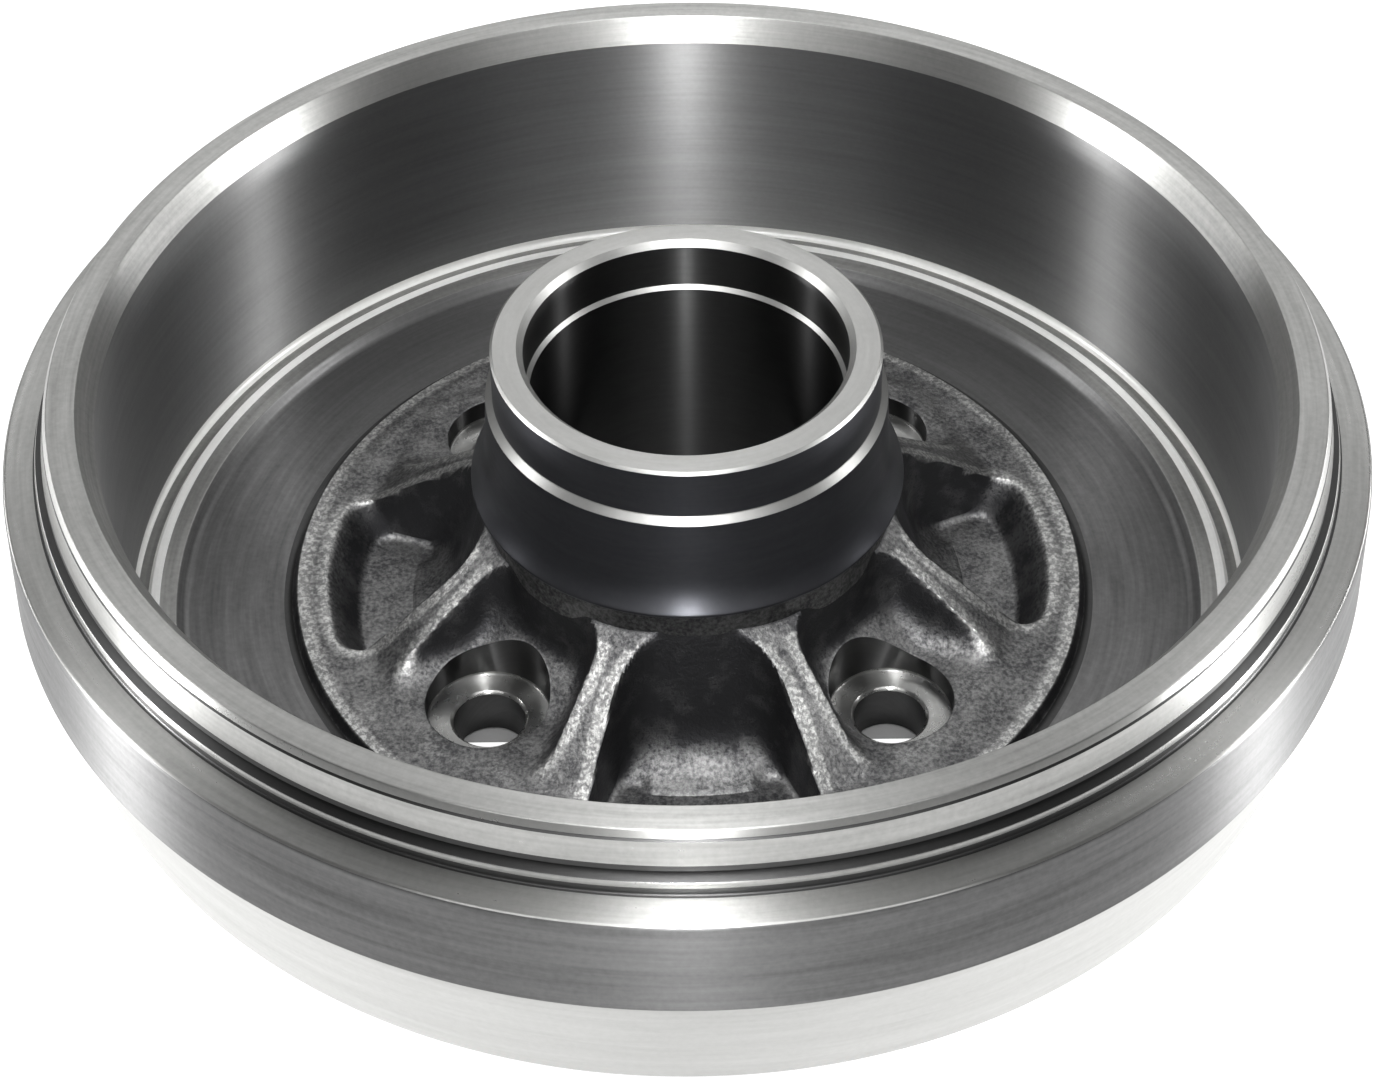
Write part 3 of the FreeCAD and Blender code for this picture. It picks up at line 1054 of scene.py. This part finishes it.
    def ribs(
        self, radius: np.ndarray, along: np.ndarray, off: np.ndarray, ground: np.ndarray
    ) -> np.ndarray:
        """Ground with the ribs on it: the smaller of a falling crest and a leaning side.

        A rib is flared by an arc of radius `flare` where it runs into the hub.

        Args:
            radius: distance from the axis.
            along: distance from the axis along the nearest rib.
            off: distance from the rib's centre plane, positive towards a bolt.
            ground: height between the ribs.

        Returns:
            Height of ground and ribs.
        """
        crest = self.crest_z - self.crest_fall * (along - self.hub.foot_r)
        reach = self.hub_r + self.flare - radius
        arc = np.sqrt(np.maximum(self.flare**2 - np.clip(reach, 0, None) ** 2, 0.0))
        flare = np.where(reach > 0.0, self.flare - arc, 0.0)
        lean = math.tan(math.radians(self.hollow_draft))
        foot = self.rib_half + flare + (self.crest_z - ground) * lean
        side = ground + rise(foot - off, lean, self.hollow_fillet)
        return fuller(ground, softer(crest, side, self.crest_blend), self.rib_blend)

    def pocket(self, radius: np.ndarray, off: np.ndarray) -> np.ndarray:
        """Floor of the pockets, with the walls that close them in.

        Args:
            radius: distance from the axis.
            off: distance from the rib's centre plane, positive towards a bolt.

        Returns:
            Height of the pocket, far above the casting outside it.
        """
        side_lean = math.tan(math.radians(self.pocket_draft))
        inset = self.rib_half + (self.crest_z - self.pocket_z) * side_lean
        in_lean = (self.pocket_in_r - self.hub_r) / (self.crest_z + self.slope_over - self.pocket_z)
        outer = cornered(
            -off - inset, self.pocket_out_r - radius, (side_lean, self.pocket_out_lean),
            self.pocket_corner, (self.pocket_fillet, self.pocket_fillet),
        )
        inner = cornered(
            -off - inset, radius - self.pocket_in_r, (side_lean, in_lean),
            self.flare, (self.pocket_fillet, self.slope_fillet),
        )
        return self.pocket_z + np.maximum(outer, inner)

    def height(self, x: np.ndarray, y: np.ndarray) -> np.ndarray:
        """Height of the cast top at (x, y), before the bolt seats are cut.

        It is the smaller of ground and ribs, of the pockets cut into them, and of the
        rounded edge that drops to the turned floor. The skin is wavy, save near the hub
        and the edge.

        Args:
            x: first coordinate.
            y: second coordinate.

        Returns:
            Height over the wheel face.
        """
        radius = np.hypot(x, y)
        angle = np.mod(np.degrees(np.arctan2(y, x)) - self.turn, 90.0)
        angle = np.minimum(angle, 90.0 - angle)
        away = np.radians(angle - self.rib_angle)
        off = radius * np.sin(away)
        along = radius * np.cos(away)
        lumps = self.lumps(x, y)
        near_hub = np.clip((radius - self.skin_in_r) / 4.0, 0.0, 1.0)
        near_edge = np.clip((self.skin_out_r - radius) / 2.0, 0.0, 1.0)
        ribs = self.ribs(radius, along, off, self.ground(radius))
        top = ribs + lumps * (near_hub * near_edge)
        top = softer(top, self.pocket(radius, off) + 0.6 * lumps, self.pocket_blend)
        edge = rise(self.ring.floor_in_r - radius, self.edge_lean, self.edge_fillet)
        return softer(top, self.ring.floor_height(radius) + edge, self.edge_blend)

    def wear_sheen_and_shade(self, points: np.ndarray) -> np.ndarray:
        """How worn and how lit a point of the cast top is: 1 on proud edges, brightened as wear and
        a painted highlight, below 0 on steep walls, darkened as painted shade.

        A point stands proud by its height less the mean height of four points at proud_reach, over
        proud_height. From a slope of 0.8 up, half of how steep it is comes off.

        Args:
            points: vertices of the web.

        Returns:
            Wear, painted highlight and painted shade of each vertex, from -0.5 to 1.
        """
        x, y, z = points.T
        far, step = self.proud_reach, 0.4
        ways = ((far, 0), (-far, 0), (0, far), (0, -far))
        near = [self.height(x + dx, y + dy) for dx, dy in ways]
        here = self.height(x, y)
        proud = np.clip((here - sum(near) / 4.0) / self.proud_height, 0.0, 1.0)
        slope = np.hypot(
            self.height(x + step, y) - self.height(x - step, y),
            self.height(x, y + step) - self.height(x, y - step),
        ) / (2.0 * step)
        steep = np.clip((slope - 0.8) / 0.9, 0.0, 1.0)
        # Proud edges stand for wear and a painted highlight; steep walls go below zero as painted
        # shade.
        return (proud * (1.0 - steep) - 0.5 * steep) * (z > here - 0.2)

    def add_top(self, draft: Draft) -> tuple[np.ndarray, list[np.ndarray]]:
        """Adds the cast top, with a window left open round each bolt.

        Args:
            draft: surface to add to.

        Returns:
            Point numbers of the grid, and those round each window.
        """
        radius, low, high = self.radii()
        quarter, first, last = self.columns(radius)
        per = quarter.shape[1]
        angle = np.concatenate([quarter + k * math.pi / 2.0 for k in range(QUARTERS)], axis=1)
        x = radius[:, None] * np.cos(angle)
        y = radius[:, None] * np.sin(angle)
        grid = draft.add_points(np.stack([x, y, self.height(x, y)], axis=-1))
        right = np.roll(grid, -1, axis=1)
        cells = np.stack([grid[:-1], grid[1:], right[1:], right[:-1]], axis=-1)
        keep = np.ones(cells.shape[:2], dtype=bool)
        windows = []
        for k in range(QUARTERS):
            a, b = k * per + first, k * per + last
            keep[low:high, a:b] = False
            windows.append(np.concatenate([
                grid[low, a:b], grid[low:high, b], grid[high, b:a:-1], grid[high:low:-1, a],
            ]))
        # From the pad's edge outwards, the cast top takes the darker finish as painted shade at the
        # pad's foot.
        past_pad = radius[:-1] >= self.ring.floor_in_r
        zones = np.where(past_pad, Zone.PAINTED_SHADE.value, Zone.CAST.value)
        draft.add_quads(cells[keep], np.broadcast_to(zones[:, None], keep.shape)[keep])
        return grid, windows

    def seat_rings(self, border: np.ndarray, number: int) -> tuple[np.ndarray, np.ndarray]:
        """Rings from a window's border onto its bolt seat, and down through the hole.

        Each ring on the cast top lies at (1 - s) border + s circle for a growing share s.

        Args:
            border: corners of the border, in order.
            number: quarter of the web.

        Returns:
            Rings of points, and the zone number of the faces before each ring.
        """
        bolt = math.radians(45.0 + 90.0 * number)
        centre = self.bolt_r * np.array([math.cos(bolt), math.sin(bolt)])
        spoke = border[:, :2] - centre
        spoke = spoke / np.linalg.norm(spoke, axis=1)[:, None]
        lip_r = self.seat_r + 0.3

        def cast(share: float) -> np.ndarray:
            """Ring on the cast top."""
            flat = border[:, :2] * (1.0 - share) + (centre + spoke * lip_r) * share
            return np.column_stack([flat, self.height(flat[:, 0], flat[:, 1])])

        def cut(radius: float, z: np.ndarray | float) -> np.ndarray:
            """Ring of the machined seat."""
            flat = centre + spoke * radius
            return np.column_stack([flat, np.broadcast_to(z, len(flat))])

        top = [cast(share) for share in np.linspace(0.0, 1.0, 11)[1:]]
        lip_z = top[-1][:, 2]
        # Rounded lip, wall of the spot face, its rounded foot, the seat, the hole's edge,
        # the hole and its chamfer at the wheel face.
        bored = [
            cut(self.seat_r + 0.08, lip_z - 0.08),
            cut(self.seat_r, lip_z - 0.3),
            cut(self.seat_r, self.seat_z + 0.5),
            cut(self.seat_r - 0.15, self.seat_z + 0.15),
            cut(self.seat_r - 0.5, self.seat_z),
            cut(self.hole_r + 0.55, self.seat_z),
            cut(self.hole_r + 0.45, self.seat_z - 0.05),
            cut(self.hole_r + 0.05, self.seat_z - 0.45),
            cut(self.hole_r, self.seat_z - 0.55),
            cut(self.hole_r, 0.5),
            cut(self.hole_r + 0.5, 0.0),
        ]
        zones = [Zone.CAST] * 11 + [Zone.BORE] * 2 + [Zone.SEAT] * 6 + [Zone.HOLE] * 2
        return np.array(top + bored), np.array([zone.value for zone in zones])

    def add_seat(self, draft: Draft, window: np.ndarray, number: int) -> np.ndarray:
        """Adds the faces from a window down to the bottom of its stud hole.

        Args:
            draft: surface to add to, with the cast top as its first points.
            window: point numbers round the window.
            number: quarter of the web.

        Returns:
            Point numbers round the bottom of the hole.
        """
        rings, zones = self.seat_rings(draft.points[0][window], number)
        index = np.vstack([window[None, :], draft.add_points(rings)])
        after = np.roll(index, -1, axis=1)
        faces = np.stack([index[:-1], index[1:], after[1:], after[:-1]], axis=-1)
        draft.add_quads(faces, np.repeat(zones, len(window)))
        return index[-1]

    def surface(self) -> Surface:
        """The web as a closed surface, with its wear, painted highlight and painted shade.

        Returns:
            Cast top and seats, the upright joints to hub and ring, and the wheel face.
        """
        draft = Draft()
        grid, windows = self.add_top(draft)
        top = draft.points[0]
        holes = [self.add_seat(draft, window, number) for number, window in enumerate(windows)]
        rims = []
        for row, outwards in ((grid[0], False), (grid[-1], True)):
            low = draft.add_points(top[row] * (1.0, 1.0, 0.0))
            face = np.stack([row, np.roll(row, -1), np.roll(low, -1), low], axis=-1)
            draft.add_quads(face[:, ::-1] if outwards else face, Zone.WHEEL_FACE.value)
            rims.insert(0, low)
        points = np.vstack(draft.points)
        loops = rims + holes
        filled = tessellate_polygon([points[loop].tolist() for loop in loops])
        triangles = np.concatenate(loops)[np.array(filled)]

        # The wheel face looks down, so triangles that look up are turned over.
        across = points[triangles[:, 1]] - points[triangles[:, 0]]
        onward = points[triangles[:, 2]] - points[triangles[:, 0]]
        up = across[:, 0] * onward[:, 1] - across[:, 1] * onward[:, 0] > 0.0
        triangles[up] = triangles[up][:, ::-1]
        surface = draft.close(triangles, Zone.WHEEL_FACE)
        surface.wear_sheen_and_shade = self.wear_sheen_and_shade(surface.vertices)
        return surface


@dataclass(frozen=True)
class SoftBox:
    """Rectangular soft box that faces the drum; place and size in metres, glow in W/m2/sr.

    lean is the direction of its second side, before it is squared to the line to the drum.
    """

    name: str
    place: tuple[float, float, float]
    size: tuple[float, float]
    glow: float
    lean: tuple[float, float, float] = (0.0, 0.0, 1.0)

    def build(self) -> None:
        """Hangs the box up; its power is glow times pi times its area."""
        light = bpy.data.lights.new(self.name, "AREA")
        light.shape = "RECTANGLE"
        light.size, light.size_y = self.size
        light.energy = self.glow * math.pi * self.size[0] * self.size[1]
        lamp = bpy.data.objects.new(self.name, light)
        place = Vector(self.place)
        back = (place - Vector((0.0, 0.0, 0.03))).normalized()
        tall = Vector(self.lean)
        tall = (tall - back * tall.dot(back)).normalized()
        turn = Matrix((tall.cross(back), tall, back)).transposed()
        lamp.matrix_world = Matrix.Translation(place) @ turn.to_4x4()
        bpy.context.scene.collection.objects.link(lamp)


@dataclass
class Studio:
    """White sheet under the drum, soft boxes and the camera.

    The eye and aim of the camera and the square of painted shadow on the sheet are in millimetres,
    its roll in degrees, and the sheet's half side in metres.
    """

    lens: float = 73.23
    sensor: float = 36.0
    aim: tuple[float, float, float] = (0.0, 0.0, 18.97)
    eye: tuple[float, float, float] = (0.0, -373.6, 371.2)
    roll: float = -0.52
    clip: tuple[float, float] = (0.01, 20.0)
    world_glow: float = 0.13
    sheet_half: float = 3.0
    sheet_colour: str = "#8C8C8C"
    sheet_roughness: float = 0.8
    sheet_glow: float = 0.9
    shade_y: float = 14.3
    shade_half: float = 46.6
    boxes: tuple[SoftBox, ...] = (
        SoftBox("strip_in_front", (0.0, -1.12, 0.84), (0.03, 1.3), 95.0),
        SoftBox("strip_overhead", (0.0, -0.25, 1.35), (0.05, 1.1), 34.0),
        SoftBox("strip_behind", (0.0, 0.80, 1.20), (0.08, 0.5), 4.0),
        SoftBox("panel_behind", (0.0, 1.45, 1.45), (3.0, 1.6), 0.5),
        SoftBox("panel_behind_low", (0.0, 1.70, 1.00), (3.0, 0.7), 0.4),
        SoftBox("panel_in_front_high", (0.0, -0.90, 1.45), (1.8, 0.55), 2.6),
        SoftBox("strip_right", (1.225, 0.138, 0.763), (0.06, 1.1), 28.0, (-0.426, 0.31, 0.627)),
        SoftBox("strip_left", (-1.225, 0.138, 0.763), (0.06, 1.1), 28.0, (0.426, 0.31, 0.627)),
        SoftBox("card_left", (-1.40, 0.25, 0.10), (1.3, 0.18), 10.0),
        SoftBox("card_right", (1.40, 0.25, 0.10), (1.3, 0.18), 11.0),
        SoftBox("low_strip_left", (-1.40, -0.15, 0.08), (0.22, 0.12), 190.0),
        SoftBox("low_strip_right", (1.40, -0.15, 0.08), (0.22, 0.12), 190.0),
    )

    def sheet(self) -> None:
        """Wide pale sheet that glows softly, save for an unlit square under the drum: a painted
        shadow, so that bore and holes look into shade.

        The square is where the larger of |x| and |y - shade_y| is under shade_half.
        """
        half = self.sheet_half
        mesh = bpy.data.meshes.new("studio_sheet")
        corners = [(-half, -half, 0.0), (half, -half, 0.0), (half, half, 0.0), (-half, half, 0.0)]
        mesh.from_pydata(corners, [], [(0, 1, 2, 3)])
        material = bpy.data.materials.new("matt_white_studio_sheet")
        material.use_nodes = True
        tree = material.node_tree
        shader = tree.nodes["Principled BSDF"]
        shader.inputs["Base Color"].default_value = linear(self.sheet_colour)
        shader.inputs["Roughness"].default_value = self.sheet_roughness
        shader.inputs["Emission Color"].default_value = (1.0, 1.0, 1.0, 1.0)
        place = tree.nodes.new("ShaderNodeTexCoord").outputs["Object"]
        moved = add_node(
            tree, "ShaderNodeVectorMath", {"operation": "SUBTRACT"},
            i0=place, i1=(0.0, self.shade_y * MM, 0.0),
        )
        size = add_node(
            tree, "ShaderNodeVectorMath", {"operation": "ABSOLUTE"}, i0=moved.outputs[0]
        )
        apart = add_node(tree, "ShaderNodeSeparateXYZ", Vector=size.outputs[0])
        away = add_node(
            tree, "ShaderNodeMath", {"operation": "MAXIMUM"},
            i0=apart.outputs["X"], i1=apart.outputs["Y"],
        )
        # Painted shadow: the glow stops inside the square under the drum.
        lit = add_node(
            tree, "ShaderNodeMath", {"operation": "GREATER_THAN"},
            i0=away.outputs[0], i1=self.shade_half * MM,
        )
        glow = add_node(
            tree, "ShaderNodeMath", {"operation": "MULTIPLY"},
            i0=lit.outputs[0], i1=self.sheet_glow,
        )
        tree.links.new(glow.outputs[0], shader.inputs["Emission Strength"])
        mesh.materials.append(material)
        sheet = bpy.data.objects.new("studio_sheet", mesh)
        bpy.context.scene.collection.objects.link(sheet)

    def world(self) -> None:
        """Even dim surroundings."""
        world = bpy.data.worlds.new("studio")
        bpy.context.scene.world = world
        world.use_nodes = True
        background = world.node_tree.nodes["Background"]
        background.inputs["Color"].default_value = (1.0, 1.0, 1.0, 1.0)
        background.inputs["Strength"].default_value = self.world_glow

    def camera(self) -> None:
        """Camera at the photograph's place, turned slightly about its axis."""
        data = bpy.data.cameras.new("camera")
        data.lens = self.lens
        data.sensor_width = self.sensor
        data.clip_start, data.clip_end = self.clip
        camera = bpy.data.objects.new("camera", data)
        eye, aim = Vector(self.eye) * MM, Vector(self.aim) * MM
        look = (aim - eye).to_track_quat("-Z", "Y").to_matrix()
        turn = Matrix.Rotation(math.radians(self.roll), 3, "Z")
        camera.matrix_world = Matrix.Translation(eye) @ (look @ turn).to_4x4()
        bpy.context.scene.collection.objects.link(camera)
        bpy.context.scene.camera = camera

    def build(self) -> None:
        """Sets up sheet, light and camera."""
        self.sheet()
        self.world()
        for box in self.boxes:
            box.build()
        self.camera()
        bpy.context.scene.view_settings.view_transform = "Standard"
        LOG.info("studio: %d soft boxes", len(self.boxes))


def main() -> None:
    """Builds the drum and the studio."""
    logging.basicConfig(level=logging.INFO, format="%(name)s %(message)s")
    finishes = {zone: finish.build() for zone, finish in FINISHES.items()}
    ring, hub = BrakeRing(), Hub()
    ring.surface().make("brake_ring", finishes)
    Web(ring, hub).surface().make("ribbed_web", finishes)
    hub.surface().make("bearing_hub", finishes)
    Studio().build()


if __name__ == "__main__":
    main()
